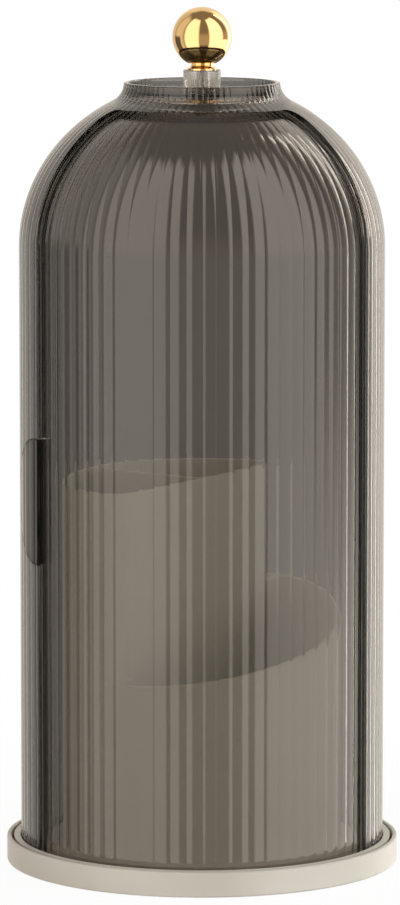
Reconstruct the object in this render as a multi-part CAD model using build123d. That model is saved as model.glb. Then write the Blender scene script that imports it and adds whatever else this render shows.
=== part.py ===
from build123d import *
import os
from math import asin, atan2, cos, degrees, radians, sin, sqrt

# A rotating makeup organizer: a cream tub with tall and low cups stands on a turntable under a
# fluted smoke-grey dome. The dome is two nested shells. The outer one is fixed to the turntable
# and open at the front, and the inner one is a door that turns about the dome's axis.
# Millimetres, +Z up, origin on the floor at the turning axis, front towards -Y.
# An azimuth is measured at the axis from the front, positive towards +X.

# Dome: outline of the fixed shell, measured on the crests of its flutes
dome_radius = 69.5
dome_height = 299.0
dome_wall = 1.9
shoulder_height = 55.0
shoulder_lead = 12.0
shoulder_sections = 8
neck_height = 7.0
neck_wall = 1.8
neck_sections = 4
top_disc_drop = 3.2
top_disc_thickness = 1.8
flute_count = 72
flute_depth = 0.25

# How much of the full rise of the shoulder's ellipse lies below the neck
shoulder_share = 0.873

# Front opening of the fixed shell
opening_half_angle = 63.5
opening_top_drop = 2.0
opening_corner = 5.0

# Door shell
door_gap = 0.5
door_wall = 1.5
door_left = -86.0
door_right = 78.0
door_foot_gap = 0.35
door_hub_inset = 10.0
door_hub_thickness = 1.8
door_hub_gap = 0.9

# Half-moon grip on the door, in a notch of the fixed shell
grip_radius = 24.2
grip_height = 142.8
grip_clearance = 0.5
grip_seat_gap = 0.05

# Turntable plate, and the channel in it for the feet of both shells
plate_thickness = 3.0
plate_land = 2.4
plate_gap = 0.9
channel_depth = 1.6
channel_inner_gap = 0.4
channel_outer_gap = 0.4

# Snap tabs of the fixed shell
tab_azimuths = (95.0, 150.0, -150.0, -95.0)
tab_half_angle = 3.5
tab_thickness = 1.2
tab_length = 2.9
tab_barb = 0.8
tab_barb_height = 0.7
tab_clearance = 0.15

# Base dish and its feet
base_wall = 1.8
base_floor = 3.0
base_lip = 0.2
base_edge_round = 0.7
foot_radius = 6.0
foot_height = 1.2
foot_proud = 0.4
foot_inset = 17.0
foot_count = 4

# Ball bearing between base and plate
ball_radius = 2.0
ball_inset = 24.3
ball_count = 10
ball_clearance = 0.1
ball_seat_depth = 0.3
cage_width = 7.0
cage_thickness = 0.8

# Pivot in the middle of base and plate
pivot_radius = 5.0
pivot_clearance = 0.08
pivot_lift = 0.1
pivot_recess = 1.6
washer_radius = 8.5
washer_thickness = 0.8
washer_clearance = 0.5
screw_radius = 1.5
screw_head_radius = 3.2
screw_head_height = 1.6
screw_clearance = 0.05
screw_end_gap = 0.6

# Organizer tub
tub_gap = 8.6
tub_wall = 2.0
tub_floor = 1.8
tub_lift = 2.5
tub_tall_rim = 147.8
tub_low_rim = 75.8
tub_low_rim_rear = 103.8
tub_corner = 10.0
tub_divider_azimuth = -33.5
tub_inner_corner = 3.0
tub_rim_round = 0.6
tub_boss_radius = 3.6
tub_screw_inset = 18.0
tub_screw_count = 3
tub_screw_radius = 1.3
tub_screw_head_radius = 2.6
tub_screw_head_height = 1.3
tub_screw_length = 5.0
tub_screw_hole_gap = 0.25

# Knob and the door's top bearing
stem_radius = 7.1
stem_height = 7.9
collar_base_radius = 5.6
collar_neck_radius = 4.0
collar_height = 2.6
collar_lip = 0.6
knob_radius = 11.3
knob_seat_radius = 5.6
knob_thread_depth = 9.5
stud_radius = 2.0
stud_clearance = 0.05
sleeve_radius = 4.0
sleeve_clearance = 0.08
sleeve_proud = 0.2
hub_washer_radius = 6.5
hub_washer_clearance = 0.15
clamp_washer_radius = 8.0
clamp_washer_thickness = 0.8
nut_across_flats = 7.0
nut_height = 3.2
stud_tip = 0.8

# How far a cutting shape runs past what it cuts
overrun = 1.0

# Radii, from the dome inwards to the tub and outwards to the base
dome_inner = dome_radius - dome_wall
door_radius = dome_inner - door_gap
door_inner = door_radius - door_wall
tub_radius = door_inner - tub_gap
channel_inner = door_inner - channel_inner_gap
channel_outer = dome_radius + channel_outer_gap
plate_radius = channel_outer + plate_land
base_inner = plate_radius + plate_gap
base_radius = base_inner + base_wall
foot_circle = base_radius - foot_inset
ball_circle = plate_radius - ball_inset
tub_screw_circle = ball_circle - tub_screw_inset
tub_screw_bore = tub_screw_radius + screw_clearance

# Heights, from the floor up to the tub
floor_top = foot_proud + base_floor
ball_height = floor_top + ball_radius - ball_seat_depth
plate_bottom = ball_height + ball_radius - ball_seat_depth
plate_top = plate_bottom + plate_thickness
base_top = plate_top + base_lip
channel_floor = plate_top - channel_depth
recess_floor = plate_top - pivot_recess
pivot_top = recess_floor + pivot_lift
door_foot = channel_floor + door_foot_gap
tub_bottom = plate_top
tub_floor_under = tub_bottom + tub_lift
tub_floor_top = tub_floor_under + tub_floor

# Shoulder and neck: the neck's hollow flare leaves the shoulder along its tangent and ends upright
collar_foot = dome_height - neck_height
shoulder_start = collar_foot - shoulder_height
shoulder_rise = shoulder_height / shoulder_share
shoulder_end_radius = dome_radius * sqrt(1 - shoulder_share**2)
flare_angle = atan2(dome_radius**2 * shoulder_share, shoulder_rise * shoulder_end_radius)
flare_radius = neck_height / sin(flare_angle)
neck_radius = shoulder_end_radius - flare_radius * (1 - cos(flare_angle))
top_disc_upper = dome_height - top_disc_drop
crown_lower = top_disc_upper - top_disc_thickness

# Door hub, knob and what clamps them
door_hub_radius = neck_radius - door_hub_inset
hub_top = crown_lower - door_hub_gap
hub_bottom = hub_top - door_hub_thickness
sleeve_bottom = hub_bottom - sleeve_proud
stem_top = top_disc_upper + stem_height
collar_top = stem_top + collar_height
knob_centre = collar_top + sqrt(knob_radius**2 - knob_seat_radius**2)
nut_top = sleeve_bottom - clamp_washer_thickness
stud_bottom = nut_top - nut_height - stud_tip
stud_top = collar_top + knob_thread_depth
stud_bore = stud_radius + stud_clearance


def ring(inner, outer, low, high):
    """A flat ring, or a disc where the inner radius is zero, between two heights."""
    section = Circle(outer)
    if inner > 0:
        section -= Circle(inner)
    return extrude(Plane.XY.offset(low) * section, high - low)


def turned(points_and_curves, start=None, end=None):
    """A profile in radius and height turned about the axis, all round or between two azimuths."""
    face = Plane.XZ * make_face(points_and_curves)
    if start is None:
        return revolve(face, Axis.Z)
    return Rot(0, 0, start - 90) * revolve(face, Axis.Z, end - start)


def wedge(inner, outer, low, high, start, end):
    """A sector of a ring between two heights and two azimuths."""
    corners = Polyline((inner, low), (outer, low), (outer, high), (inner, high), close=True)
    return turned(corners, start, end)


def around(shape, azimuth):
    """A shape modelled at the front, turned to an azimuth."""
    return Rot(0, 0, azimuth) * shape


def spread(shape, count):
    """Copies of a shape at equal steps around the axis."""
    return [around(shape, index * 360 / count) for index in range(count)]


def shoulder_angle(rise, height):
    """Where on a shoulder's quarter ellipse a height lies, in degrees from its foot."""
    return degrees(asin((height - shoulder_start) / rise))


def fluted_section(crest_radius, height):
    """One closed outline of convex flutes, their depth in step with the radius."""
    valley_radius = crest_radius - flute_depth * crest_radius / dome_radius
    pitch = 360 / flute_count

    def at(radius, angle):
        return (radius * cos(radians(angle)), radius * sin(radians(angle)), height)

    arcs = [
        ThreePointArc(
            at(valley_radius, index * pitch),
            at(crest_radius, (index + 1 / 2) * pitch),
            at(valley_radius, (index + 1) * pitch),
        ).edge()
        for index in range(flute_count)
    ]
    return Wire(arcs)


def shoulder_outline(radius, rise, top):
    """Radius and height at even steps up a shoulder, from the cylinder to a height."""
    last = radians(shoulder_angle(rise, top))
    angles = [last * index / shoulder_sections for index in range(shoulder_sections + 1)]
    return [(radius * cos(angle), shoulder_start + rise * sin(angle)) for angle in angles]


def flare_outline():
    """Radius and height at even steps up the neck's flare, from the shoulder to the rim."""
    angles = [flare_angle * index / neck_sections for index in reversed(range(neck_sections + 1))]
    return [
        (neck_radius + flare_radius * (1 - cos(angle)), dome_height - flare_radius * sin(angle))
        for angle in angles
    ]


def fluted_loft(outline):
    """A solid with flutes that follow an outline of radii and heights."""
    return Solid.make_loft([fluted_section(*place) for place in outline])


def fluted_bell(radius, rise, foot, top):
    """A solid bell with flutes that run up its cylinder and converge over its shoulder."""
    lead_foot = shoulder_start - shoulder_lead
    body = extrude(Face(fluted_section(radius, foot)), lead_foot - foot)
    lead = [(radius, lead_foot), (radius, shoulder_start - shoulder_lead / 2)]
    return body + fluted_loft(lead + shoulder_outline(radius, rise, top))


def smooth_bell(radius, rise, foot, top):
    """The plain inside of a bell: a cylinder, a quarter-ellipse shoulder and a flat top."""
    last = shoulder_angle(rise, top)
    shoulder = EllipticalCenterArc((0, shoulder_start), radius, rise, arc_size=last)
    outline = [
        Polyline((0, top), (0, foot), (radius, foot), (radius, shoulder_start)),
        shoulder,
        Line(shoulder @ 1, (0, top)),
    ]
    return turned(outline)


def grip_prism(radius):
    """A round bar along the radius through the middle of the half-moon grip."""
    bar = Plane((0, 0, grip_height), z_dir=(0, -1, 0)) * Cylinder(
        radius, dome_radius + overrun, align=(Align.CENTER, Align.CENTER, Align.MIN)
    )
    return around(bar, -opening_half_angle)


def base_dish():
    """Shallow dish with a raised rim, a pivot boss, a ball groove and recesses for the feet."""
    dish = ring(0, base_radius, foot_proud, base_top)
    dish = fillet(dish.edges().filter_by(GeomType.CIRCLE).group_by(Axis.Z)[0], base_edge_round)
    dish -= ring(0, base_inner, floor_top, base_top + overrun)
    dish = fillet(dish.edges().group_by(Axis.Z)[-1], base_wall / 3)
    dish += ring(0, pivot_radius, floor_top, pivot_top)
    hole_floor = foot_proud + base_floor / 2
    dish -= ring(0, screw_radius + screw_clearance, hole_floor, pivot_top + overrun)
    dish -= Pos(0, 0, ball_height) * Torus(ball_circle, ball_radius + ball_clearance)
    for pad in foot_pads():
        dish -= pad
    return dish


def foot_pads():
    """Round rubber pads let into the underside of the base, none of them at the very front."""
    pad = Pos(0, -foot_circle, 0) * ring(0, foot_radius, 0, foot_height)
    return spread(around(pad, 180 / foot_count), foot_count)


def bearing_balls():
    """The ring of balls that carries the turntable."""
    return spread(Pos(0, -ball_circle, ball_height) * Sphere(ball_radius), ball_count)


def ball_cage():
    """Flat ring with a pocket for each ball."""
    low = ball_height - cage_thickness / 2
    high = ball_height + cage_thickness / 2
    cage = ring(ball_circle - cage_width / 2, ball_circle + cage_width / 2, low, high)
    pocket = ring(0, ball_radius + ball_clearance, low - overrun, high + overrun)
    for cut in spread(Pos(0, -ball_circle, 0) * pocket, ball_count):
        cage -= cut
    return cage


def pivot_washer():
    """Washer on the pivot boss that keeps the plate from lifting off."""
    inner = screw_radius + washer_clearance
    return ring(inner, washer_radius, pivot_top, pivot_top + washer_thickness)


def pivot_screw():
    """Pan-head screw down the middle of the pivot boss."""
    head_foot = pivot_top + washer_thickness
    head = ring(0, screw_head_radius, head_foot, head_foot + screw_head_height)
    head = fillet(head.edges().group_by(Axis.Z)[-1], screw_head_height / 3)
    shank_end = foot_proud + base_floor / 2 + screw_end_gap
    return head + ring(0, screw_radius, shank_end, head_foot)


def turntable_plate():
    """Disc that turns on the balls and carries the tub and the dome."""
    plate = ring(pivot_radius + pivot_clearance, plate_radius, plate_bottom, plate_top)
    plate -= ring(0, washer_radius + washer_clearance, recess_floor, plate_top + overrun)
    plate -= Pos(0, 0, ball_height) * Torus(ball_circle, ball_radius + ball_clearance)
    plate -= ring(channel_inner, channel_outer, channel_floor, plate_top + overrun)
    slot_inner = dome_inner - tab_clearance
    slot_outer = dome_inner + tab_thickness + tab_clearance
    slot_extra = degrees(tab_clearance / dome_inner)
    for azimuth in tab_azimuths:
        plate -= wedge(
            slot_inner,
            slot_outer,
            plate_bottom - overrun,
            channel_floor + overrun,
            azimuth - tab_half_angle - slot_extra,
            azimuth + tab_half_angle + slot_extra,
        )
    hole = ring(0, tub_screw_radius + tub_screw_hole_gap, plate_bottom - overrun, plate_top + overrun)
    for cut in spread(Pos(0, -tub_screw_circle, 0) * hole, tub_screw_count):
        plate -= cut
    return plate


def organizer_screws():
    """Screws from under the plate into the tub's bosses."""
    head = ring(0, tub_screw_head_radius, plate_bottom - tub_screw_head_height, plate_bottom)
    shank = ring(0, tub_screw_radius, plate_bottom, plate_bottom + tub_screw_length)
    return spread(Pos(0, -tub_screw_circle, 0) * (head + shank), tub_screw_count)


def tall_plan():
    """Plan of the tall half of the tub: a half disc with rounded corners."""
    half = Circle(tub_radius) & Pos(tub_wall / 2, 0) * Rectangle(
        2 * tub_radius, 2 * tub_radius, align=(Align.MAX, Align.CENTER)
    )
    return fillet(half.vertices(), tub_corner)


def tall_cup_plan():
    """Plan of the rear tall cup: a quarter disc inside the walls."""
    quarter = Circle(tub_radius - tub_wall) & Pos(-tub_wall / 2, tub_wall / 2) * Rectangle(
        tub_radius, tub_radius, align=(Align.MAX, Align.MIN)
    )
    outer_corner = quarter.vertices().sort_by(Axis.Y)[-1]
    quarter = fillet(outer_corner, tub_corner - tub_wall)
    square_corners = quarter.vertices().sort_by(Axis.Y)[:2]
    return fillet(square_corners, tub_inner_corner)


def low_cup_plan():
    """Plan of the low cup: a half disc inside the walls."""
    half = Circle(tub_radius - tub_wall) & Pos(tub_wall / 2, 0) * Rectangle(
        2 * tub_radius, 2 * tub_radius, align=(Align.MIN, Align.CENTER)
    )
    return fillet(half.vertices(), tub_inner_corner)


def organizer_tub():
    """One moulding: two tall cups behind a straight divider, one low cup with a slanted rim."""
    # In plan, the divider lies on Y, the tall half is at -X and the low half at +X.
    top = tub_tall_rim + overrun
    tub = ring(0, tub_radius, tub_bottom, tub_tall_rim)

    # The low half ends at a plane that climbs from the divider's front end to its rear end.
    rim_middle = (tub_low_rim + tub_low_rim_rear) / 2
    rim_tilt = degrees(atan2(tub_low_rim_rear - tub_low_rim, 2 * tub_radius))
    above_plan = Circle(tub_radius + overrun) - tall_plan()
    above = extrude(Plane.XY.offset(tub_floor_top) * above_plan, top - tub_floor_top)
    below = Pos(0, 0, rim_middle) * Rot(rim_tilt, 0, 0) * Box(
        4 * tub_radius,
        4 * tub_radius,
        2 * tub_tall_rim,
        align=(Align.CENTER, Align.CENTER, Align.MAX),
    )
    tub -= above - below

    # The two tall cups mirror each other across the wall between them.
    rear_cup = tall_cup_plan()
    for plan in (rear_cup, mirror(rear_cup, Plane.XZ), low_cup_plan()):
        tub -= extrude(Plane.XY.offset(tub_floor_top) * plan, top - tub_floor_top)
    tub = fillet(tub.edges().group_by(Axis.Z)[-1], tub_rim_round)
    rim = tub.faces().filter_by(lambda face: tub_low_rim < face.center().Z < tub_low_rim_rear)
    rim = rim.filter_by(GeomType.PLANE).sort_by(lambda face: -abs(face.normal_at().Z))[0]
    tub = fillet(rim.edges().filter_by(GeomType.ELLIPSE), tub_rim_round)

    # Hollow underside with bosses for the screws
    tub -= ring(0, tub_radius - tub_wall, tub_bottom - overrun, tub_floor_under)
    tub = around(tub, tub_divider_azimuth)
    boss = ring(0, tub_boss_radius, tub_bottom, tub_floor_under)
    bore_top = plate_bottom + tub_screw_length + screw_clearance
    bore = ring(0, tub_screw_bore, tub_bottom - overrun, bore_top)
    for place in spread(Pos(0, -tub_screw_circle, 0), tub_screw_count):
        tub += place * boss
        tub -= place * bore
    return tub


def fixed_shell():
    """Outer shell of the dome with its neck, top disc, front opening, grip notch and snap tabs."""
    shell = fluted_bell(dome_radius, shoulder_rise, channel_floor, collar_foot)
    shell += fluted_loft(flare_outline())
    shell -= ring(0, neck_radius - neck_wall, top_disc_upper, dome_height + overrun)
    shell -= smooth_bell(dome_inner, shoulder_rise - dome_wall, channel_floor - overrun, crown_lower)
    shell -= ring(0, stud_bore, crown_lower - overrun, top_disc_upper + overrun)

    opening = wedge(
        neck_radius,
        dome_radius + overrun,
        channel_floor - overrun,
        collar_foot - opening_top_drop,
        -opening_half_angle,
        opening_half_angle,
    )
    top_corners = opening.edges().filter_by(GeomType.LINE).group_by(Axis.Z)[-1]
    shell -= fillet(top_corners, opening_corner)
    shell -= grip_prism(grip_radius)

    for azimuth in tab_azimuths:
        start = azimuth - tab_half_angle
        end = azimuth + tab_half_angle
        tab_outer = dome_inner + tab_thickness
        tab_foot = channel_floor - tab_length
        barb_top = plate_bottom - tab_clearance
        shell += wedge(dome_inner, tab_outer, tab_foot, channel_floor, start, end)
        shell += wedge(tab_outer, tab_outer + tab_barb, barb_top - tab_barb_height, barb_top, start, end)
    return shell


def door_shell():
    """Inner shell: a fluted front that hangs from a round hub under the dome's top disc."""
    rise = shoulder_rise - dome_wall - door_gap
    door = fluted_bell(door_radius, rise, door_foot, hub_top)
    door -= smooth_bell(door_inner, rise - door_wall, door_foot - overrun, hub_bottom)
    door -= ring(0, sleeve_radius + sleeve_clearance, hub_bottom - overrun, hub_top + overrun)
    door -= wedge(
        door_hub_radius,
        dome_radius,
        door_foot - overrun,
        hub_top + overrun,
        door_right,
        door_left + 360,
    )
    return door


def door_grip():
    """Half-moon pad on the door, flush with the fixed shell and fluted like it."""
    low = grip_height - grip_radius
    pad = extrude(Face(fluted_section(dome_radius, low)), 2 * grip_radius)
    pad -= ring(0, door_radius + grip_seat_gap, low - overrun, low + 2 * grip_radius + overrun)
    pad &= grip_prism(grip_radius - grip_clearance)
    pad &= wedge(
        0,
        dome_radius + overrun,
        low,
        low + 2 * grip_radius,
        -opening_half_angle - degrees(asin(grip_radius / dome_inner)),
        -opening_half_angle,
    )
    return pad


def knob_stem():
    """Short clear cylinder that stands on the top disc."""
    return ring(stud_bore, stem_radius, top_disc_upper, stem_top)


def knob_collar():
    """Flared gold ring between stem and ball."""
    flare = collar_base_radius - collar_neck_radius
    lip_top = stem_top + collar_lip
    outline = [
        Polyline(
            (collar_neck_radius, collar_top),
            (stud_bore, collar_top),
            (stud_bore, stem_top),
            (collar_base_radius, stem_top),
            (collar_base_radius, lip_top),
        ),
        EllipticalCenterArc(
            (collar_base_radius, collar_top), flare, collar_top - lip_top, 180, arc_size=90
        ),
    ]
    return turned(outline)


def knob_ball():
    """Polished ball with a flat seat and a blind hole for the stud."""
    ball = Pos(0, 0, knob_centre) * Sphere(knob_radius)
    ball -= ring(0, knob_radius, knob_centre - 2 * knob_radius, collar_top)
    ball -= ring(0, stud_bore, collar_top - overrun, stud_top + stud_clearance)
    return ball


def knob_stud():
    """Stud from the ball down through the top disc, the sleeve and the nut."""
    return ring(0, stud_radius, stud_bottom, stud_top)


def pivot_sleeve():
    """Sleeve that the door's hub turns on."""
    return ring(stud_bore, sleeve_radius, sleeve_bottom, crown_lower)


def hub_washer():
    """Thin washer between the top disc and the door's hub."""
    low = hub_top + hub_washer_clearance
    return ring(sleeve_radius + stud_clearance, hub_washer_radius, low, crown_lower)


def clamp_washer():
    """Washer under the sleeve that the door's hub hangs on."""
    return ring(stud_bore, clamp_washer_radius, nut_top, sleeve_bottom)


def hub_nut():
    """Hexagon nut that clamps knob, top disc, sleeve and washers together."""
    plan = RegularPolygon(nut_across_flats / 2, 6, major_radius=False) - Circle(stud_bore)
    return extrude(Plane.XY.offset(nut_top - nut_height) * plan, nut_height)


nodes = {
    "base_dish": base_dish(),
    "bearing_balls": Compound(children=bearing_balls()),
    "ball_cage": ball_cage(),
    "pivot_washer": pivot_washer(),
    "pivot_screw": pivot_screw(),
    "turntable_plate": turntable_plate(),
    "organizer_screws": Compound(children=organizer_screws()),
    "organizer_tub": organizer_tub(),
    "fixed_shell": fixed_shell(),
    "door_shell": door_shell(),
    "door_grip": door_grip(),
    "knob_stem": knob_stem(),
    "knob_collar": knob_collar(),
    "knob_ball": knob_ball(),
    "knob_stud": knob_stud(),
    "pivot_sleeve": pivot_sleeve(),
    "hub_washer": hub_washer(),
    "clamp_washer": clamp_washer(),
    "hub_nut": hub_nut(),
}
for number, pad in enumerate(foot_pads(), start=1):
    nodes[f"foot_pad_{number}"] = pad

os.makedirs("parts", exist_ok=True)
for name, solid in nodes.items():
    export_step(solid, f"parts/{name}.step")
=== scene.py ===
import logging
import math
from dataclasses import dataclass, field
from enum import Enum
from typing import Any

import bmesh
import bpy
from bpy.types import Material, Mesh, NodeSocket, NodeTree, Object
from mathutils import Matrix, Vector


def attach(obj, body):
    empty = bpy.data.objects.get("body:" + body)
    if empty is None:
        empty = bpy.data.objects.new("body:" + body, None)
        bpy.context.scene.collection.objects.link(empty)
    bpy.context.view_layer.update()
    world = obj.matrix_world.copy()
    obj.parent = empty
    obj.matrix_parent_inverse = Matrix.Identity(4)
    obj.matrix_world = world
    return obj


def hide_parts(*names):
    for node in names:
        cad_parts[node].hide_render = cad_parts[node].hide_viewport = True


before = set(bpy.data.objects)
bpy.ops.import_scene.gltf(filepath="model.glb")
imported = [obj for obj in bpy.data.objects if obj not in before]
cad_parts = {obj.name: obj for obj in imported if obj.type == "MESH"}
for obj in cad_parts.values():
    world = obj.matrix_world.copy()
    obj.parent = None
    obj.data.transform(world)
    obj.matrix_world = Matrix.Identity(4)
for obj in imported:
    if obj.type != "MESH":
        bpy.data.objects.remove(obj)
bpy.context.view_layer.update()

MM = 0.001
WHITE = "#ffffff"
MATHS = "ShaderNodeMath"
# A Mix node has its own sockets for each type of value. These are the numbers of those in use.
MIX_SHARE = 0
NUMBER_A, NUMBER_B = 2, 3
COLOUR_A, COLOUR_B, COLOUR_OUT = 6, 7, 2
LOG = logging.getLogger("organizer")

Colour = tuple[float, float, float, float]
Point = tuple[float, float]
ProfilePoint = tuple[float, float, float]


def linear(code: str) -> Colour:
    """Turns an sRGB hex colour to linear light.

    Args:
        code: The colour as #rrggbb.

    Returns:
        Red, green, blue and alpha, each from 0 to 1.
    """
    parts = [int(code[place:place + 2], 16) / 255 for place in (1, 3, 5)]
    light = [part / 12.92 if part <= 0.04045 else ((part + 0.055) / 1.055) ** 2.4 for part in parts]
    return (light[0], light[1], light[2], 1.0)


def add(
    tree: NodeTree,
    kind: str,
    inputs: dict[Any, Any] | tuple[Any, ...] = (),
    out: int | str = 0,
    **settings: Any,
) -> NodeSocket | None:
    """Adds a node with its settings, its socket values and its links.

    Args:
        tree: The node tree that gets the node.
        kind: The node's type.
        inputs: What each input gets, in order, or by name or number: a value, an output socket, or
            a list of those.
        out: The output that is wanted, by name or number.
        settings: The node's own properties.

    Returns:
        That output, or nothing where the node has none.
    """
    node = tree.nodes.new(kind)
    for name, value in settings.items():
        setattr(node, name, value)
    for key, value in inputs.items() if isinstance(inputs, dict) else enumerate(inputs):
        for source in value if isinstance(value, list) else [value]:
            if isinstance(source, NodeSocket):
                tree.links.new(source, node.inputs[key])
            else:
                node.inputs[key].default_value = source
    return node.outputs[out] if node.outputs else None


def link_mesh(name: str, mesh: Mesh) -> Object:
    """Puts a mesh into the scene as an object at the origin.

    Args:
        name: The object's name.
        mesh: Its mesh.

    Returns:
        The new object.
    """
    piece = bpy.data.objects.new(name, mesh)
    bpy.context.scene.collection.objects.link(piece)
    return piece


def link_shape(name: str, shape: bmesh.types.BMesh) -> Object:
    """Turns a closed shape's faces outwards and puts it into the scene.

    Args:
        name: The object's name.
        shape: The shape, which is used up.

    Returns:
        The new object.
    """
    bmesh.ops.recalc_face_normals(shape, faces=shape.faces)
    mesh = bpy.data.meshes.new(name)
    shape.to_mesh(mesh)
    shape.free()
    return link_mesh(name, mesh)


@dataclass(frozen=True)
class Lumps:
    """Soft lumps all over an object: the size of one in millimetres, and the finer layers on it."""

    size: float
    detail: float = 2.0

    # The lumps' heights mostly lie between these two.
    USUAL_LOW = 0.3
    USUAL_HIGH = 0.7

    def height(self, tree: NodeTree) -> NodeSocket:
        """Lays the lumps on the object's own coordinates.

        Args:
            tree: The material's node tree.

        Returns:
            Their height, about 0.5 on average.
        """
        place = add(tree, "ShaderNodeTexCoord", out="Object")
        values = {"Vector": place, "Scale": 1 / (self.size * MM), "Detail": self.detail}
        return add(tree, "ShaderNodeTexNoise", values, out="Fac")

    def spread(self, tree: NodeTree, low: float, high: float) -> NodeSocket:
        """Makes a number that follows the lumps.

        Args:
            tree: The material's node tree.
            low: The number where the lumps are low.
            high: The number where they are high.

        Returns:
            The number.
        """
        values = {
            "Value": self.height(tree),
            "From Min": self.USUAL_LOW,
            "From Max": self.USUAL_HIGH,
            "To Min": low,
            "To Max": high,
        }
        return add(tree, "ShaderNodeMapRange", values)


@dataclass(frozen=True)
class Rings:
    """A lathe tool's rings around the axis: their spacing in millimetres, and their unevenness."""

    pitch: float
    unevenness: float = 0.4

    # A wave texture's bands turn by this many radians for each unit of its scaled coordinate.
    RADIANS = 20.0

    def height(self, tree: NodeTree) -> NodeSocket:
        """Lays the rings on the object's own coordinates.

        Args:
            tree: The material's node tree.

        Returns:
            Their height, from 0 to 1.
        """
        values = {
            "Vector": add(tree, "ShaderNodeTexCoord", out="Object"),
            "Scale": math.tau / self.RADIANS / (self.pitch * MM),
            "Distortion": self.unevenness,
        }
        return add(tree, "ShaderNodeTexWave", values, out="Fac", bands_direction="Z")


@dataclass(frozen=True)
class Relief:
    """A relief too shallow for the mesh: its pattern, its depth in millimetres and its strength."""

    pattern: Lumps | Rings
    depth: float
    strength: float = 0.5

    def normal(self, tree: NodeTree) -> NodeSocket:
        """Bends the surface's direction by the relief.

        Args:
            tree: The material's node tree.

        Returns:
            The bent direction.
        """
        values = {
            "Height": self.pattern.height(tree),
            "Distance": self.depth * MM,
            "Strength": self.strength,
        }
        return add(tree, "ShaderNodeBump", values)


@dataclass(frozen=True)
class Finish:
    """What a surface is made of, how it was made, and the record's slot that it belongs to."""

    name: str
    slot: str
    colour: str
    roughness: float

    def material(self) -> Material:
        """Makes the finish as a material, once.

        Returns:
            The material, shared by all pieces with this finish.
        """
        known = bpy.data.materials.get(self.name)
        if known is not None:
            return known
        material = bpy.data.materials.new(self.name)
        material.use_nodes = True
        material.node_tree.nodes.clear()
        surface = self.shade(material.node_tree)
        add(material.node_tree, "ShaderNodeOutputMaterial", {"Surface": surface})
        return material

    def shade(self, tree: NodeTree) -> NodeSocket:
        """Builds the finish's nodes.

        Args:
            tree: The material's empty node tree.

        Returns:
            The socket that goes to the material's surface.
        """
        raise NotImplementedError


@dataclass(frozen=True)
class Skin(Finish):
    """An opaque surface whose colour drifts to a second one and whose gloss varies, with a relief."""

    shade_colour: str
    drift: Lumps
    drift_share: float
    gloss: Lumps
    gloss_spread: tuple[float, float]
    relief: Relief
    ior: float | None = None

    def shade(self, tree: NodeTree) -> NodeSocket:
        """Builds the skin, as a metal where the finish names no IOR.

        Args:
            tree: The material's empty node tree.

        Returns:
            The socket that goes to the material's surface.
        """
        blend = {
            MIX_SHARE: self.drift.spread(tree, 0.0, self.drift_share),
            COLOUR_A: linear(self.colour),
            COLOUR_B: linear(self.shade_colour),
        }
        smooth, rough = (self.roughness + change for change in self.gloss_spread)
        values = {
            "Base Color": add(tree, "ShaderNodeMix", blend, out=COLOUR_OUT, data_type="RGBA"),
            "Roughness": self.gloss.spread(tree, smooth, rough),
            "Normal": self.relief.normal(tree),
        }
        values |= {"Metallic": 1.0} if self.ior is None else {"IOR": self.ior}
        return add(tree, "ShaderNodeBsdfPrincipled", values)


@dataclass(frozen=True)
class MouldedAbs(Skin):
    """Cream ABS from a spark-eroded mould: an even satin skin, finely grained, with a soft sheen."""

    shade_colour: str = "#cbc4b8"
    drift: Lumps = Lumps(38.0)
    drift_share: float = 0.6
    gloss: Lumps = Lumps(6.0)
    gloss_spread: tuple[float, float] = (-0.04, 0.06)
    # The real grain is about 0.1 mm; it is drawn coarser so that it shows at all.
    relief: Relief = Relief(Lumps(0.7, 3.0), 0.012, 0.6)
    ior: float | None = 1.54


@dataclass(frozen=True)
class PolishedPlating(Skin):
    """Gold-toned plating on a polished ball: a near mirror with the slightest orange peel."""

    shade_colour: str = "#dcae66"
    drift: Lumps = Lumps(9.0)
    drift_share: float = 0.35
    gloss: Lumps = Lumps(2.0)
    gloss_spread: tuple[float, float] = (0.0, 0.04)
    relief: Relief = Relief(Lumps(3.0, 1.0), 0.006)


@dataclass(frozen=True)
class TurnedMetal(Skin):
    """Metal turned on a lathe: fine rings around the axis that stretch its highlights."""

    shade_colour: str = "#8a6a34"
    drift: Lumps = Lumps(1.5, 3.0)
    drift_share: float = 0.7
    gloss: Lumps = Lumps(0.8)
    gloss_spread: tuple[float, float] = (-0.05, 0.08)
    relief: Relief = Relief(Rings(0.25), 0.01)


@dataclass(frozen=True)
class SoftPolymer(Skin):
    """Nylon or rubber with a dull skin: rough, even, with a fine moulded stipple."""

    shade_colour: str = "#d8d4c8"
    drift: Lumps = Lumps(3.0, 3.0)
    drift_share: float = 1.0
    gloss: Lumps = Lumps(0.5)
    gloss_spread: tuple[float, float] = (-0.05, 0.05)
    relief: Relief = Relief(Lumps(0.5), 0.02, 0.7)
    ior: float | None = 1.53


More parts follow.
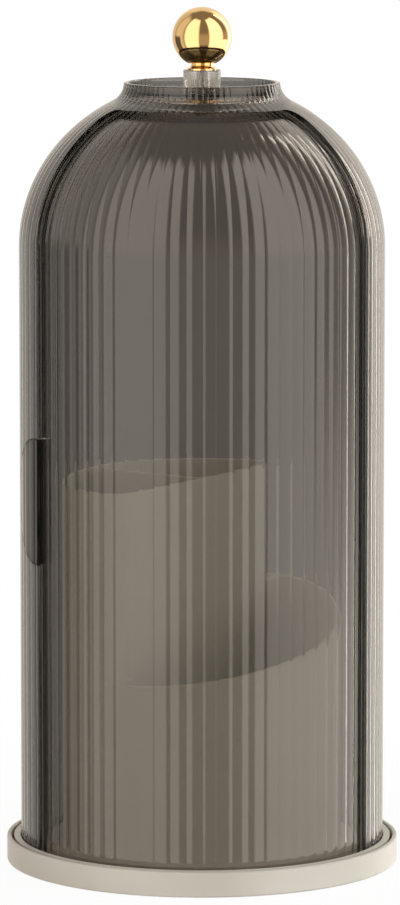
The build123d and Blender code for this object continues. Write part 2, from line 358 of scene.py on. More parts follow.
@dataclass(frozen=True)
class ClearMoulding(Finish):
    """Clear plastic from a polished mould: glossy, tinted through its thickness, faintly wavy."""

    ior: float = 1.57
    waves: Relief = Relief(Lumps(14.0, 1.0), 0.025)

    def shade(self, tree: NodeTree) -> NodeSocket:
        """Builds tinted clear plastic that lets the lamps' light through to what is inside.

        Args:
            tree: The material's empty node tree.

        Returns:
            The socket that goes to the material's surface.
        """
        values = {
            "Base Color": linear(self.colour),
            "Roughness": self.roughness,
            "IOR": self.ior,
            "Transmission Weight": 1.0,
            "Normal": self.waves.normal(tree),
        }
        plastic = add(tree, "ShaderNodeBsdfPrincipled", values)
        # The tint counts once, on the way out to the eye: the plastic also scatters light inwards.
        clear = add(tree, "ShaderNodeBsdfTransparent", {"Color": linear(WHITE)})
        shadow = add(tree, "ShaderNodeLightPath", out="Is Shadow Ray")
        return add(tree, "ShaderNodeMixShader", (shadow, plastic, clear))


CREAM = MouldedAbs("moulded_cream_abs", "cream_plastic", "#d5d1c8", 0.42)
# The tub's cream has a greyer tone. It is also painted darker than the base's cream, as painted shade
# for the dimmer light inside the dome.
GREY_CREAM_IN_PAINTED_SHADE = MouldedAbs(
    "moulded_grey_cream_abs", "cream_plastic", "#cac9bc", 0.42, shade_colour="#c0beaf"
)
SMOKE = ClearMoulding("moulded_smoke_pet", "smoke_plastic", "#716d69", 0.02)
LIGHT_SMOKE = ClearMoulding("moulded_light_smoke_pet", "smoke_plastic", "#a09a94", 0.02)
DARK_SMOKE = ClearMoulding("moulded_dark_smoke_pet", "smoke_plastic", "#322f2d", 0.08, ior=1.33)
CLEAR = ClearMoulding(
    "moulded_clear_acrylic", "clear_plastic", "#f4f0e8", 0.2, ior=1.49,
    waves=Relief(Lumps(5.0, 1.0), 0.025),
)
GOLD = PolishedPlating("polished_gold_plating", "gold_plating", "#eecb94", 0.05)
BRASS = TurnedMetal("turned_brass", "brass", "#b88f4a", 0.28)
STEEL = TurnedMetal("ground_steel", "steel", "#b9bbbd", 0.22, shade_colour="#8d8f92")
NYLON = SoftPolymer("moulded_nylon", "nylon", "#e6e2d8", 0.5)
RUBBER = SoftPolymer(
    "moulded_rubber", "rubber", "#2b2a29", 0.8, shade_colour="#383736", ior=1.52
)


class Cut(Enum):
    """What a turned wall does with the solids that meet it."""

    NONE = "none"
    TAKE_AWAY = "DIFFERENCE"
    KEEP = "INTERSECT"


class WallTree:
    """Geometry Nodes that turn a profile about the axis, flute it and trim it with other solids."""

    SOCKETS = (
        ("Profile", "NodeSocketGeometry"),
        ("Columns", "NodeSocketInt"),
        ("Closed", "NodeSocketBool"),
        ("Flutes", "NodeSocketInt"),
        ("Flute Share", "NodeSocketFloat"),
        ("First Solid", "NodeSocketObject"),
        ("Second Solid", "NodeSocketObject"),
        ("Material", "NodeSocketMaterial"),
    )
    SHARP_ANGLE = math.radians(34.0)
    SEAM = 0.002 * MM

    def __init__(self, cut: Cut) -> None:
        """Builds the tree for one kind of trimming.

        Args:
            cut: How the wall is trimmed.
        """
        self.tree = bpy.data.node_groups.new(f"turned_wall_{cut.name.lower()}", "GeometryNodeTree")
        self.sockets: dict[str, str] = {}
        for name, kind in self.SOCKETS:
            socket = self.tree.interface.new_socket(name, in_out="INPUT", socket_type=kind)
            self.sockets[name] = socket.identifier
        self.tree.interface.new_socket("Wall", in_out="OUTPUT", socket_type="NodeSocketGeometry")
        self.given = add(self.tree, "NodeGroupInput").node.outputs
        wall = self.sharpen(self.trim(self.sweep(), cut))
        real = add(self.tree, "GeometryNodeRealizeInstances", {"Geometry": wall})
        dressed = {"Geometry": real, "Material": self.given["Material"]}
        done = add(self.tree, "GeometryNodeSetMaterial", dressed)
        add(self.tree, "NodeGroupOutput", {"Wall": done})

    def sweep(self) -> NodeSocket:
        """Lays a grid over azimuth and profile and bends it into the fluted wall.

        Returns:
            The wall, with its seams closed.
        """
        tree, given = self.tree, self.given
        points = add(tree, "GeometryNodeAttributeDomainSize", {"Geometry": given["Profile"]})
        rows = add(tree, MATHS, (points, given["Closed"]), operation="ADD")
        columns = add(tree, MATHS, (given["Columns"], 1), operation="ADD")
        sheet = {"Size X": 1.0, "Size Y": 1.0, "Vertices X": columns, "Vertices Y": rows}
        grid = add(tree, "GeometryNodeMeshGrid", sheet)

        place = add(tree, "GeometryNodeInputPosition")
        flat = add(tree, "ShaderNodeSeparateXYZ", {"Vector": place}).node.outputs
        turn = add(tree, MATHS, (flat["X"], 0.5), operation="ADD")
        along = add(tree, MATHS, (flat["Y"], 0.5), operation="ADD")
        last = add(tree, MATHS, (rows, 1), operation="SUBTRACT")
        row = add(tree, MATHS, (along, last), operation="MULTIPLY")
        row = add(tree, MATHS, (row,), operation="ROUND")
        index = add(tree, MATHS, (row, points), operation="MODULO")

        sample = {"Geometry": given["Profile"], "Value": place, "Index": index}
        spot = add(tree, "GeometryNodeSampleIndex", sample, data_type="FLOAT_VECTOR")
        profile = add(tree, "ShaderNodeSeparateXYZ", {"Vector": spot}).node.outputs
        named = {"Name": "flute"}
        sample["Value"] = add(tree, "GeometryNodeInputNamedAttribute", named, data_type="FLOAT")
        weight = add(tree, "GeometryNodeSampleIndex", sample, data_type="FLOAT")

        # Across one flute the wall falls with the square of the distance from its crest.
        phase = add(tree, MATHS, (turn, given["Flutes"]), operation="MULTIPLY")
        phase = add(tree, MATHS, (phase,), operation="FRACT")
        aside = add(tree, MATHS, (phase, 2.0, -1.0), operation="MULTIPLY_ADD")
        valley = add(tree, MATHS, (aside, 2.0), operation="POWER")
        drop = add(tree, MATHS, (valley, weight), operation="MULTIPLY")
        drop = add(tree, MATHS, (drop, given["Flute Share"]), operation="MULTIPLY")
        left = add(tree, MATHS, (1.0, drop), operation="SUBTRACT")
        radius = add(tree, MATHS, (profile["X"], left), operation="MULTIPLY")

        angle = add(tree, MATHS, (turn, math.tau), operation="MULTIPLY")
        bent = {"Z": profile["Z"]}
        for axis, operation in (("X", "COSINE"), ("Y", "SINE")):
            share = add(tree, MATHS, (angle,), operation=operation)
            bent[axis] = add(tree, MATHS, (radius, share), operation="MULTIPLY")
        target = add(tree, "ShaderNodeCombineXYZ", bent)
        moved = add(tree, "GeometryNodeSetPosition", {"Geometry": grid, "Position": target})
        return add(tree, "GeometryNodeMergeByDistance", {"Geometry": moved, "Distance": self.SEAM})

    def trim(self, wall: NodeSocket, cut: Cut) -> NodeSocket:
        """Takes the given solids away from the wall, or keeps what lies inside the first one.

        Args:
            wall: The whole wall.
            cut: What is done.

        Returns:
            The trimmed wall.
        """
        if cut is Cut.NONE:
            return wall
        names = ("First Solid", "Second Solid") if cut is Cut.TAKE_AWAY else ("First Solid",)
        solids = [
            add(self.tree, "GeometryNodeObjectInfo", {"Object": self.given[name]}, out="Geometry")
            for name in names
        ]
        meshes = {"Mesh 1": wall, "Mesh 2": solids}
        if cut is Cut.KEEP:
            meshes = {"Mesh 2": [wall, *solids]}
        options = {"operation": cut.value, "solver": "MANIFOLD"}
        return add(self.tree, "GeometryNodeMeshBoolean", meshes, **options)

    def sharpen(self, wall: NodeSocket) -> NodeSocket:
        """Shades the wall smooth, apart from its real edges.

        Args:
            wall: The trimmed wall.

        Returns:
            The shaded wall.
        """
        faces = {"Geometry": wall, "Shade Smooth": True}
        smooth = add(self.tree, "GeometryNodeSetShadeSmooth", faces)
        angle = add(self.tree, "GeometryNodeInputMeshEdgeAngle", out="Unsigned Angle")
        sharp = add(self.tree, MATHS, (angle, self.SHARP_ANGLE), operation="GREATER_THAN")
        edges = {"Geometry": smooth, "Selection": sharp, "Shade Smooth": False}
        return add(self.tree, "GeometryNodeSetShadeSmooth", edges, domain="EDGE")


@dataclass
class TurnedWall:
    """A wall with one profile all round the axis, fluted and trimmed by Geometry Nodes."""

    name: str
    profile: list[ProfilePoint]
    finish: Finish
    columns: int = 180
    closed: bool = True
    flutes: int = 1
    flute_share: float = 0.0
    cut: Cut = Cut.NONE
    solids: list[Object] = field(default_factory=list)

    def outline(self) -> Mesh:
        """Draws the profile as edges beside the axis, with each point's share of the flutes.

        Returns:
            The outline, which the nodes turn.
        """
        outline = bpy.data.meshes.new(f"{self.name}_profile")
        count = len(self.profile)
        spans = count if self.closed else count - 1
        spots = [(radius * MM, 0.0, height * MM) for radius, height, _ in self.profile]
        outline.from_pydata(spots, [(index, (index + 1) % count) for index in range(spans)], [])
        weights = outline.attributes.new("flute", "FLOAT", "POINT")
        weights.data.foreach_set("value", [weight for _, _, weight in self.profile])
        return outline

    def build(self) -> Object:
        """Runs the nodes on the profile and keeps the result as a plain mesh.

        Returns:
            The finished piece.
        """
        outline = self.outline()
        piece = link_mesh(self.name, outline)
        nodes = WallTree(self.cut)
        modifier = piece.modifiers.new("wall", "NODES")
        modifier.node_group = nodes.tree
        given = {
            "Columns": self.columns,
            "Closed": self.closed,
            "Flutes": self.flutes,
            "Flute Share": self.flute_share,
            "Material": self.finish.material(),
        }
        given.update(zip(("First Solid", "Second Solid"), self.solids))
        for name, value in given.items():
            modifier[nodes.sockets[name]] = value
        graph = bpy.context.evaluated_depsgraph_get()
        mesh = bpy.data.meshes.new_from_object(piece.evaluated_get(graph))
        piece.modifiers.remove(modifier)
        piece.data = mesh
        mesh.name = self.name
        bpy.data.meshes.remove(outline)
        for solid in self.solids:
            bpy.data.objects.remove(solid)
        return piece


def curve(centre: Point, radii: Point, start: float, end: float, steps: int) -> list[Point]:
    """Points on a stretch of an ellipse in a profile.

    Args:
        centre: Its radius and height.
        radii: The ellipse's two half widths.
        start: Where it starts, in degrees from the outward direction.
        end: Where it ends.
        steps: How many chords it has.

    Returns:
        Radius and height of each point, both ends included.
    """
    turns = [math.radians(start + (end - start) * index / steps) for index in range(steps + 1)]
    return [
        (centre[0] + radii[0] * math.cos(turn), centre[1] + radii[1] * math.sin(turn))
        for turn in turns
    ]


def weigh(points: list[Point], weight: float = 0.0) -> list[ProfilePoint]:
    """Gives each point of a profile the same share of the flutes' depth."""
    return [(radius, height, weight) for radius, height in points]


def at(azimuth: float, radius: float, height: float) -> Vector:
    """A point from its azimuth in degrees, and its radius and height in millimetres."""
    turn = math.radians(azimuth)
    return Vector((radius * math.sin(turn), -radius * math.cos(turn), height)) * MM


@dataclass
class Sector:
    """A block between two azimuths that cuts a wall and rounds its edges and upper corners."""

    inner: float
    outer: float
    low: float
    high: float
    start: float
    end: float
    wall_inner: float
    wall_outer: float
    corner: float = 0.0
    step: float = 2.0
    corner_steps: int = 10
    wall_steps: int = 10

    def radii(self) -> list[Point]:
        """Radii through the block, with the reach past its azimuths that rounds the wall's edges.

        Returns:
            Pairs of radius and reach, from the axis outwards.
        """
        half = (self.wall_outer - self.wall_inner) / 2
        middle = self.wall_inner + half
        turns = [math.pi * index / self.wall_steps for index in range(self.wall_steps + 1)]
        edge = [(middle - half * math.cos(turn), half * (1 - math.sin(turn))) for turn in turns]
        return [(self.inner, half)] + edge + [(self.outer, half)]

    def columns(self, radius: float, reach: float) -> list[Point]:
        """Azimuth and upper height along the block's top, at one radius.

        Args:
            radius: The radius.
            reach: How far the block reaches past its azimuths there.

        Returns:
            One pair for each column.
        """
        extra = math.degrees(reach / radius)
        start, end = self.start - extra, self.end + extra
        rise = []
        for index in range(self.corner_steps if self.corner else 0):
            angle = math.pi / 2 * index / self.corner_steps
            inset = math.degrees(math.asin(self.corner * (1 - math.cos(angle)) / radius))
            rise.append((inset, self.high - self.corner * (1 - math.sin(angle))))
        inset = math.degrees(math.asin(self.corner / radius))
        left, right = start + inset, end - inset
        count = math.ceil((self.end - self.start) / self.step)
        level = [(left + (right - left) * index / count, self.high) for index in range(count + 1)]
        return (
            [(start + inset, height) for inset, height in rise]
            + level
            + [(end - inset, height) for inset, height in reversed(rise)]
        )

    def solid(self, name: str) -> Object:
        """Makes the block as a closed mesh.

        Args:
            name: The object's name.

        Returns:
            The block, for trimming a wall.
        """
        shape = bmesh.new()
        rings = []
        for radius, reach in self.radii():
            columns = self.columns(radius, reach)
            tops = [shape.verts.new(at(azimuth, radius, height)) for azimuth, height in columns]
            feet = [shape.verts.new(at(azimuth, radius, self.low)) for azimuth, _ in columns]
            rings.append((tops, feet))
        last = len(rings[0][0]) - 1
        for tops, feet in (rings[0], rings[-1]):
            for index in range(last):
                shape.faces.new((tops[index], tops[index + 1], feet[index + 1], feet[index]))
        for (tops, feet), (next_tops, next_feet) in zip(rings, rings[1:]):
            for one, two in ((tops, next_tops), (feet, next_feet)):
                for index in range(last):
                    shape.faces.new((one[index], one[index + 1], two[index + 1], two[index]))
            for index in (0, last):
                shape.faces.new((tops[index], next_tops[index], next_feet[index], feet[index]))
        return link_shape(name, shape)


@dataclass
class RadialBar:
    """A round or half-round bar that lies along a radius."""

    radius: float
    near: float
    far: float
    azimuth: float
    height: float
    half: bool = False
    steps: int = 120

    def solid(self, name: str) -> Object:
        """Makes the bar as a closed mesh; a half bar has its flat side on its radius.

        Args:
            name: The object's name.

        Returns:
            The bar, for trimming a wall.
        """
        sweep = math.pi if self.half else math.tau
        count = self.steps + 1 if self.half else self.steps
        sideways = at(self.azimuth - 90, 1.0, 0.0)
        shape = bmesh.new()
        ends = []
        for reach in (self.near, self.far):
            middle = at(self.azimuth, reach, self.height)
            ring = []
            for index in range(count):
                angle = sweep * index / self.steps - math.pi / 2
                offset = sideways * self.radius * math.cos(angle)
                lift = Vector((0.0, 0.0, self.radius * math.sin(angle) * MM))
                ring.append(shape.verts.new(middle + offset + lift))
            ends.append(ring)
            shape.faces.new(ring)
        near, far = ends
        for index in range(count):
            after = (index + 1) % count
            shape.faces.new((near[index], near[after], far[after], far[index]))
        return link_shape(name, shape)


@dataclass
class Dome:
    """The smoke-grey dome: a fixed fluted shell, the door that turns in it, and the door's grip."""

    radius: float = 69.5
    height: float = 299.0
    wall: float = 1.9
    foot: float = 8.2
    shoulder_height: float = 55.0
    shoulder_share: float = 0.873
    shoulder_rows: int = 40
    neck_height: float = 7.0
    neck_wall: float = 1.8
    neck_rows: int = 12
    rim_round: float = 0.5
    rim_rows: int = 5
    disc_drop: float = 3.2
    disc_thickness: float = 1.8
    stud_bore: float = 2.05
    flutes: int = 72
    flute_columns: int = 10
    flute_depth: float = 0.35
    flute_inside: float = 0.95
    opening_half_angle: float = 63.5
    opening_drop: float = 2.0
    opening_corner: float = 5.0
    door_gap: float = 0.5
    door_wall: float = 1.5
    door_left: float = -86.0
    door_right: float = 78.0
    door_foot: float = 8.55
    hub_inset: float = 10.0
    hub_thickness: float = 1.8
    hub_gap: float = 0.9
    hub_bore: float = 4.08
    grip_radius: float = 24.2
    grip_height: float = 142.8
    grip_clearance: float = 0.5
    grip_seat_gap: float = 0.05
    grip_flute: float = 0.3
    overrun: float = 2.0

    @property
    def collar_foot(self) -> float:
        """Height where the shoulder ends and the neck's flare starts."""
        return self.height - self.neck_height

    @property
    def shoulder_start(self) -> float:
        """Height where the cylinder ends."""
        return self.collar_foot - self.shoulder_height

    @property
    def rise(self) -> float:
        """Full rise of the shoulder's ellipse."""
        return self.shoulder_height / self.shoulder_share

    @property
    def shoulder_end(self) -> float:
        """Radius where the shoulder ends."""
        return self.radius * math.sqrt(1 - self.shoulder_share**2)

    @property
    def flare_angle(self) -> float:
        """How far the neck's flare bends from the shoulder's slope to upright, in radians."""
        return math.atan2(self.radius**2 * self.shoulder_share, self.rise * self.shoulder_end)

    @property
    def flare_radius(self) -> float:
        """Radius of the neck's hollow flare."""
        return self.neck_height / math.sin(self.flare_angle)

    @property
    def neck_radius(self) -> float:
        """Outer radius of the neck at its rim."""
        return self.shoulder_end - self.flare_radius * (1 - math.cos(self.flare_angle))

    @property
    def door_radius(self) -> float:
        """Outer radius of the door, on the crests of its flutes."""
        return self.radius - self.wall - self.door_gap

    @property
    def crown_lower(self) -> float:
        """Underside of the top disc."""
        return self.height - self.disc_drop - self.disc_thickness

    def shoulder(self, radius: float, rise: float, top: float) -> list[Point]:
        """The shoulder's stretch of a profile, from the cylinder up.

        Args:
            radius: The cylinder's radius.
            rise: The full rise of its ellipse.
            top: The height where it ends.

        Returns:
            Radius and height of each point.
        """
        last = math.degrees(math.asin((top - self.shoulder_start) / rise))
        return curve((0.0, self.shoulder_start), (radius, rise), 0.0, last, self.shoulder_rows)

    def fixed_profile(self) -> list[ProfilePoint]:
        """The fixed shell's profile: up its outside, over the neck, in to the stud, down its inside.

        Returns:
            The closed profile.
        """
        outside = self.shoulder(self.radius, self.rise, self.collar_foot)
        outside = [(self.radius, self.foot)] + outside
        neck, inner_neck = self.neck_radius, self.neck_radius - self.neck_wall
        bend, foot_turn = self.flare_radius, 180 + math.degrees(self.flare_angle)
        rim_turn = 180 + math.degrees(math.asin(self.rim_round / bend))
        middle = (neck + bend, self.height)
        flare = curve(middle, (bend, bend), foot_turn, rim_turn, self.neck_rows)
        edge = (self.rim_round, self.rim_round)
        lip = self.height - self.rim_round
        rim_outside = curve((neck - self.rim_round, lip), edge, 0, 90, self.rim_rows)
        rim_inside = curve((inner_neck + self.rim_round, lip), edge, 90, 180, self.rim_rows)
        disc_top = self.height - self.disc_drop
        bore = self.stud_bore
        disc = [(inner_neck, disc_top), (bore, disc_top), (bore, self.crown_lower)]
        inside = self.shoulder(self.radius - self.wall, self.rise - self.wall, self.crown_lower)
        inside = [(self.radius - self.wall, self.foot)] + inside
        top = weigh(outside + flare[1:] + rim_outside, 1.0) + weigh(rim_inside + disc)
        return top + weigh(inside[::-1], self.flute_inside)

    def door_profile(self) -> list[ProfilePoint]:
        """The door's profile: up its outside, in to the hub's bore and down its inside.

        Returns:
            The closed profile.
        """
        radius, rise = self.door_radius, self.rise - self.wall - self.door_gap
        hub_top = self.crown_lower - self.hub_gap
        hub_bottom = hub_top - self.hub_thickness
        outside = [(radius, self.door_foot)] + self.shoulder(radius, rise, hub_top)
        hub = [(self.hub_bore, hub_top), (self.hub_bore, hub_bottom)]
        inside = self.shoulder(radius - self.door_wall, rise - self.door_wall, hub_bottom)
        inside = [(radius - self.door_wall, self.door_foot)] + inside
        return weigh(outside, 1.0) + weigh(hub) + weigh(inside[::-1], self.flute_inside)

    def grip_profile(self) -> list[ProfilePoint]:
        """The grip's profile: a plain wall between the door and the fixed shell's outside.

        Returns:
            The closed profile.
        """
        low, high = self.grip_height - self.grip_radius, self.grip_height + self.grip_radius
        seat = self.door_radius + self.grip_seat_gap
        outside = weigh([(self.radius, low), (self.radius, high)], self.grip_flute)
        return outside + weigh([(seat, high), (seat, low)])

    def opening(self) -> Object:
        """Makes the block that opens the fixed shell at the front.

        Returns:
            The block.
        """
        return Sector(
            inner=self.neck_radius,
            outer=self.radius + self.overrun,
            low=self.foot - self.overrun,
            high=self.collar_foot - self.opening_drop,
            start=-self.opening_half_angle,
            end=self.opening_half_angle,
            wall_inner=self.radius - self.wall,
            wall_outer=self.radius,
            corner=self.opening_corner,
        ).solid("opening")

    def behind_door(self) -> Object:
        """Makes the block that takes away the rear of the door's bell.

        Returns:
            The block.
        """
        return Sector(
            inner=self.neck_radius - self.hub_inset,
            outer=self.radius + self.overrun,
            low=self.door_foot - self.overrun,
            high=self.crown_lower + self.overrun,
            start=self.door_right,
            end=self.door_left + 360,
            wall_inner=self.door_radius - self.door_wall,
            wall_outer=self.door_radius,
        ).solid("behind_door")

    def grip_bar(self, radius: float, half: bool) -> Object:
        """Makes the bar that cuts the grip's notch, or the half bar that bounds the grip.

        Args:
            radius: The bar's radius.
            half: Whether it is the half bar.

        Returns:
            The bar.
        """
        far = self.radius + self.overrun
        side = -self.opening_half_angle
        return RadialBar(radius, far / 2, far, side, self.grip_height, half).solid("grip_bar")

    def wall_piece(
        self, name: str, profile: list[ProfilePoint], finish: Finish, cut: Cut, solids: list[Object]
    ) -> Object:
        """Builds one fluted wall of the dome.

        Args:
            name: The piece's name.
            profile: Its closed profile.
            finish: What it is made of.
            cut: How it is trimmed.
            solids: What trims it.

        Returns:
            The piece.
        """
        return TurnedWall(
            name,
            profile,
            finish,
            columns=self.flutes * self.flute_columns,
            flutes=self.flutes,
            flute_share=self.flute_depth / self.radius,
            cut=cut,
            solids=solids,
        ).build()

    def build(self) -> list[Object]:
        """Builds the two shells and the grip, each on its body.

        Returns:
            The three pieces.
        """
        cutters = [self.opening(), self.grip_bar(self.grip_radius, False)]
        profile = self.fixed_profile()
        fixed = self.wall_piece("dome_shell", profile, SMOKE, Cut.TAKE_AWAY, cutters)
        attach(fixed, "turntable")
        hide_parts("fixed_shell")
        cutters = [self.behind_door()]
        profile = self.door_profile()
        door = self.wall_piece("dome_door", profile, LIGHT_SMOKE, Cut.TAKE_AWAY, cutters)
        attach(door, "door")
        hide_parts("door_shell")
        bound = self.grip_bar(self.grip_radius - self.grip_clearance, True)
        profile = self.grip_profile()
        grip = self.wall_piece("dome_grip", profile, DARK_SMOKE, Cut.KEEP, [bound])
        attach(grip, "door")
        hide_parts("door_grip")
        return [fixed, door, grip]


@dataclass
class Knob:
    """The knob on the top disc: a clear stem, a flared collar and a polished ball."""

    stem_foot: float = 295.8
    stem_radius: float = 7.1
    stem_height: float = 7.9
    stem_edge: float = 0.35
    stem_edge_rows: int = 4
    stud_bore: float = 2.05
    collar_base: float = 5.6
    collar_neck: float = 4.0
    collar_height: float = 2.6
    collar_lip: float = 0.6
    collar_rows: int = 14
    ball_radius: float = 11.3
    ball_seat: float = 5.6
    ball_rows: int = 72

    @property
    def stem_top(self) -> float:
        """Height of the stem's upper face."""
        return self.stem_foot + self.stem_height

    @property
    def collar_top(self) -> float:
        """Height of the ball's seat."""
        return self.stem_top + self.collar_height

    def stem(self) -> list[Point]:
        """The stem's profile, with rounded outer edges.

        Returns:
            The closed profile.
        """
        edge, rows = (self.stem_edge, self.stem_edge), self.stem_edge_rows
        side = self.stem_radius - self.stem_edge
        points = curve((side, self.stem_foot + self.stem_edge), edge, -90, 0, rows)
        points += curve((side, self.stem_top - self.stem_edge), edge, 0, 90, rows)
        return points + [(self.stud_bore, self.stem_top), (self.stud_bore, self.stem_foot)]

    def collar(self) -> list[Point]:
        """The collar's profile: a lip, and a hollow flare up to the ball.

        Returns:
            The closed profile.
        """
        lip_top = self.stem_top + self.collar_lip
        flare = (self.collar_base - self.collar_neck, self.collar_top - lip_top)
        points = [(self.stud_bore, self.stem_top), (self.collar_base, self.stem_top)]
        middle = (self.collar_base, self.collar_top)
        points += curve(middle, flare, 270, 180, self.collar_rows)
        return points + [(self.stud_bore, self.collar_top)]

    def ball(self) -> list[Point]:
        """The ball's profile, from the middle of its seat to its top.

        Returns:
            The open profile.
        """
        centre = self.collar_top + math.sqrt(self.ball_radius**2 - self.ball_seat**2)
        seat = math.degrees(math.asin((self.collar_top - centre) / self.ball_radius))
        radii = (self.ball_radius, self.ball_radius)
        points = [(0.0, self.collar_top)] + curve((0.0, centre), radii, seat, 90, self.ball_rows)
        points[-1] = (0.0, centre + self.ball_radius)
        return points

    def build(self) -> list[Object]:
        """Builds stem, collar and ball on the turntable.

        Returns:
            The three pieces.
        """
        pieces = []
        for name, points, finish, closed in (
            ("stem", self.stem(), CLEAR, True),
            ("collar", self.collar(), GOLD, True),
            ("ball", self.ball(), GOLD, False),
        ):
            piece = TurnedWall(f"knob_{name}_turned", weigh(points), finish, closed=closed).build()
            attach(piece, "turntable")
            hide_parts(f"knob_{name}")
            pieces.append(piece)
        return pieces


@dataclass
class FramePieces:
    """The solids of the frame that show as they are, each with its finish."""

    finishes: dict[str, Finish]

    def dress(self) -> list[Object]:
        """Gives each solid its finish.

        Returns:
            The dressed solids.
        """
        for name, finish in self.finishes.items():
            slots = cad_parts[name].data.materials
            slots.clear()
            slots.append(finish.material())
        return [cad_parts[name] for name in self.finishes]


@dataclass(frozen=True)
class SoftBox:
    """An area lamp that points at the middle of the object; a mirror shows a Patch in its place."""

    name: str
    place: tuple[float, float, float]
    size: tuple[float, float]
    glow: float
    colour: str = WHITE


@dataclass(frozen=True)
class Patch:
    """A part of the surroundings as metal and clear plastic show it, in degrees round the object."""

    azimuth: float
    elevation: float
    half_width: float
    half_height: float
    soft: float
    glow: float

    def share(self, tree: NodeTree, azimuth: NodeSocket, elevation: NodeSocket) -> NodeSocket:
        """How far a direction lies inside the patch.

        Args:
            tree: The world's node tree.
            azimuth: The direction's azimuth, in radians.
            elevation: Its elevation, in radians.

        Returns:
            1 inside and 0 outside, with a soft edge.
        """
        inside = 1.0
        for angle, middle, half in (
            (azimuth, self.azimuth, self.half_width),
            (elevation, self.elevation, self.half_height),
        ):
            away = add(tree, MATHS, (angle, math.radians(middle)), operation="SUBTRACT")
            away = add(tree, MATHS, (away, math.pi, -math.pi), operation="WRAP")
            away = add(tree, MATHS, (away,), operation="ABSOLUTE")
            values = {
                "Value": away,
                "From Min": math.radians(half - self.soft),
                "From Max": math.radians(half + self.soft),
                "To Min": 1.0,
                "To Max": 0.0,
            }
            edge = add(tree, "ShaderNodeMapRange", values, interpolation_type="SMOOTHSTEP")
            inside = add(tree, MATHS, (inside, edge), operation="MULTIPLY")
        return inside


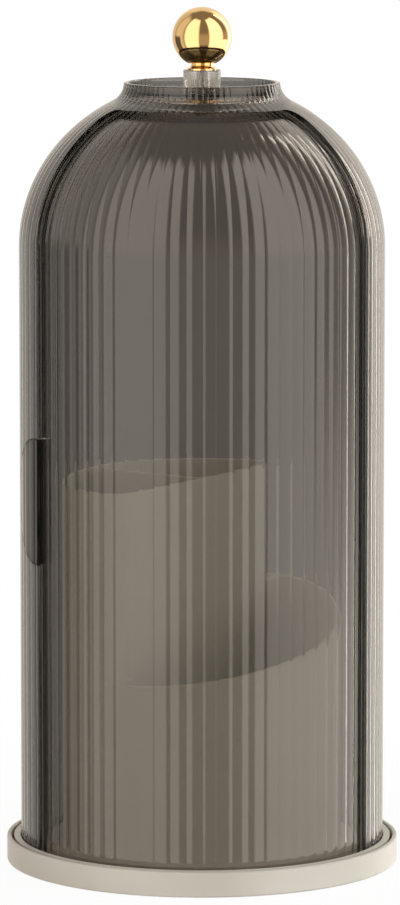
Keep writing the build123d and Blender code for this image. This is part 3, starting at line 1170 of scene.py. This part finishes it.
@dataclass
class Studio:
    """A white table-top before a white backdrop, with a window on each side of a long lens."""

    table_half: float = 12.0
    table_glow: float = 0.95
    shadow_reach: tuple[float, float] = (0.1, 0.3)
    sky: float = 0.32
    wall: float = 0.5
    ceiling: float = 0.27
    ceiling_edge: tuple[float, float] = (2.0, 22.0)
    below: float = 0.05
    below_edge: tuple[float, float] = (-40.0, -24.0)
    room_tint: str = "#fff0da"
    daylight: str = "#fff6ea"
    aim: tuple[float, float, float] = (0.0, 0.0, 0.15)
    camera_distance: float = 2.094
    camera_height: float = 0.4418
    camera_offset: float = -0.00076
    camera_pitch: float = 7.73
    lens: float = 220.2
    sensor_height: float = 36.0
    bounces: int = 32
    boxes: tuple[SoftBox, ...] = (
        SoftBox("key_right", (1.57, -0.35, 0.7), (1.2, 1.6), 2.7, "#ecf7ff"),
        SoftBox("fill_left", (-1.07, -1.19, 0.7), (1.2, 1.6), 1.1),
        SoftBox("top", (0.0, -0.3, 2.2), (2.0, 2.0), 0.4),
    )
    backdrop: Patch = Patch(180.0, 0.0, 31.0, 60.0, 8.0, 1.0)
    windows: tuple[Patch, ...] = (
        Patch(-142.0, 5.0, 18.0, 50.0, 8.0, 0.8),
        Patch(-100.0, 10.0, 25.0, 50.0, 12.0, 0.9),
        Patch(-42.0, 16.0, 30.0, 54.0, 6.0, 1.95),
        Patch(59.0, 16.0, 30.0, 54.0, 6.0, 2.25),
        Patch(104.0, -25.0, 18.0, 18.0, 3.0, 2.1),
        Patch(131.0, 8.0, 3.0, 46.0, 2.0, 7.0),
        Patch(140.0, 5.0, 24.0, 46.0, 8.0, 1.6),
    )
    # A dark card, whose glow is the part of the light that it leaves.
    card: Patch = Patch(-110.0, -30.0, 17.0, 30.0, 4.0, 0.15)

    def floor(self) -> None:
        """Lays a table that is white to the light, and glows to the eye but still takes a shadow."""
        half = self.table_half
        corners = [(-half, -half, 0), (half, -half, 0), (half, half, 0), (-half, half, 0)]
        mesh = bpy.data.meshes.new("floor")
        mesh.from_pydata(corners, [], [(0, 1, 2, 3)])
        material = bpy.data.materials.new("white_table")
        material.use_nodes = True
        tree = material.node_tree
        tree.nodes.clear()
        matte = add(tree, "ShaderNodeBsdfDiffuse", {"Color": linear(WHITE)})
        glow = add(tree, "ShaderNodeEmission", {"Color": linear(WHITE), "Strength": 1.0})
        place = add(tree, "ShaderNodeTexCoord", out="Object")
        away = add(tree, "ShaderNodeVectorMath", (place,), out="Value", operation="LENGTH")
        near, far = self.shadow_reach
        values = {
            "Value": away,
            "From Min": near,
            "From Max": far,
            "To Min": self.table_glow,
            "To Max": 1.0,
        }
        seen = add(tree, "ShaderNodeMapRange", values)
        lit = add(tree, "ShaderNodeLightPath", out="Is Diffuse Ray")
        share = add(tree, "ShaderNodeMix", {MIX_SHARE: lit, NUMBER_A: seen, NUMBER_B: 0.0})
        both = add(tree, "ShaderNodeMixShader", (share, matte, glow))
        add(tree, "ShaderNodeOutputMaterial", {"Surface": both})
        mesh.materials.append(material)
        floor = link_mesh("floor", mesh)
        # Mirrors show the room's lower part instead, which goes on below the table's height.
        floor.visible_glossy = False

    def world(self) -> None:
        """Makes surroundings that are white to the eye, and a room with windows to shiny pieces."""
        world = bpy.data.worlds.new("studio")
        world.use_nodes = True
        tree = world.node_tree
        tree.nodes.clear()
        direction = add(tree, "ShaderNodeTexCoord", out="Generated")
        way = add(tree, "ShaderNodeSeparateXYZ", {"Vector": direction}).node.outputs
        front = add(tree, MATHS, (way["Y"], -1.0), operation="MULTIPLY")
        azimuth = add(tree, MATHS, (way["X"], front), operation="ARCTAN2")
        elevation = add(tree, MATHS, (way["Z"],), operation="ARCSINE")

        seen = 1.0
        for (low, high), (lower, upper) in (
            (self.ceiling_edge, (self.wall, self.ceiling)),
            (self.below_edge, (0.0, 1.0)),
        ):
            values = {
                "Value": elevation,
                "From Min": math.radians(low),
                "From Max": math.radians(high),
                "To Min": lower,
                "To Max": upper,
            }
            level = add(tree, "ShaderNodeMapRange", values, interpolation_type="SMOOTHSTEP")
            seen = add(tree, MATHS, (seen, level), operation="MULTIPLY")
        seen = add(tree, MATHS, (seen, self.below), operation="MAXIMUM")

        bright = 0.0
        for patch in (self.backdrop, *self.windows):
            share = patch.share(tree, azimuth, elevation)
            glow = add(tree, MATHS, (share, patch.glow), operation="MULTIPLY")
            seen = add(tree, MATHS, (seen, glow), operation="MAXIMUM")
            bright = add(tree, MATHS, (bright, share), operation="MAXIMUM")
        covered = self.card.share(tree, azimuth, elevation)
        left = add(tree, MATHS, (covered, self.card.glow - 1.0, 1.0), operation="MULTIPLY_ADD")
        strength = add(tree, MATHS, (seen, left), operation="MULTIPLY")

        ray = add(tree, "ShaderNodeLightPath").node.outputs
        for share, level in ((ray["Is Diffuse Ray"], self.sky), (ray["Is Camera Ray"], 1.0)):
            values = {MIX_SHARE: share, NUMBER_A: strength, NUMBER_B: level}
            strength = add(tree, "ShaderNodeMix", values)
        colour = linear(self.room_tint)
        for share, hue in ((bright, self.daylight), (ray["Is Camera Ray"], WHITE)):
            values = {MIX_SHARE: share, COLOUR_A: colour, COLOUR_B: linear(hue)}
            colour = add(tree, "ShaderNodeMix", values, out=COLOUR_OUT, data_type="RGBA")
        background = add(tree, "ShaderNodeBackground", {"Color": colour, "Strength": strength})
        add(tree, "ShaderNodeOutputWorld", {"Surface": background})
        bpy.context.scene.world = world

    def lamps(self) -> None:
        """Hangs the soft boxes."""
        for box in self.boxes:
            lamp = bpy.data.lights.new(box.name, "AREA")
            lamp.shape = "RECTANGLE"
            lamp.size, lamp.size_y = box.size
            lamp.color = linear(box.colour)[:3]
            lamp.energy = box.glow * math.pi * box.size[0] * box.size[1]
            stand = bpy.data.objects.new(box.name, lamp)
            stand.location = box.place
            towards = Vector(self.aim) - Vector(box.place)
            stand.rotation_euler = towards.to_track_quat("-Z", "Y").to_euler()
            stand.visible_camera = False
            stand.visible_glossy = False
            stand.visible_transmission = False
            bpy.context.scene.collection.objects.link(stand)

    def camera(self) -> None:
        """Sets the camera where the photograph was taken from."""
        lens = bpy.data.cameras.new("camera")
        lens.sensor_fit = "VERTICAL"
        lens.sensor_height = self.sensor_height
        lens.lens = self.lens
        stand = bpy.data.objects.new("camera", lens)
        stand.location = (self.camera_offset, -self.camera_distance, self.camera_height)
        stand.rotation_euler = (math.radians(90 - self.camera_pitch), 0.0, 0.0)
        bpy.context.scene.collection.objects.link(stand)
        bpy.context.scene.camera = stand

    def build(self) -> None:
        """Sets up floor, world, lamps, camera and the plain view of colours."""
        self.floor()
        self.world()
        self.lamps()
        self.camera()
        scene = bpy.context.scene
        scene.view_settings.view_transform = "Standard"
        scene.cycles.max_bounces = self.bounces
        scene.cycles.transmission_bounces = self.bounces
        scene.cycles.transparent_max_bounces = self.bounces


def main() -> None:
    """Builds and dresses the organizer and its studio."""
    logging.basicConfig(level=logging.INFO, format="%(name)s: %(message)s")
    # The tub takes the cream with painted shade.
    cream = {"base_dish": CREAM, "turntable_plate": CREAM, "organizer_tub": GREY_CREAM_IN_PAINTED_SHADE}
    metal = {name: BRASS for name in ("pivot_sleeve", "hub_nut")}
    steel = ("knob_stud", "bearing_balls", "pivot_screw", "organizer_screws")
    metal |= {name: STEEL for name in steel}
    soft = {name: NYLON for name in ("hub_washer", "clamp_washer", "pivot_washer", "ball_cage")}
    soft |= {f"foot_pad_{number}": RUBBER for number in range(1, 5)}
    groups = {
        "dome": Dome().build(),
        "knob": Knob().build(),
        "base, turntable and tub": FramePieces(cream).dress(),
        "metal": FramePieces(metal).dress(),
        "washers, cage and feet": FramePieces(soft).dress(),
    }
    for group, pieces in groups.items():
        for piece in pieces:
            LOG.info("%s: %s, %d faces", group, piece.name, len(piece.data.polygons))
    Studio().build()


if __name__ == "__main__":
    main()
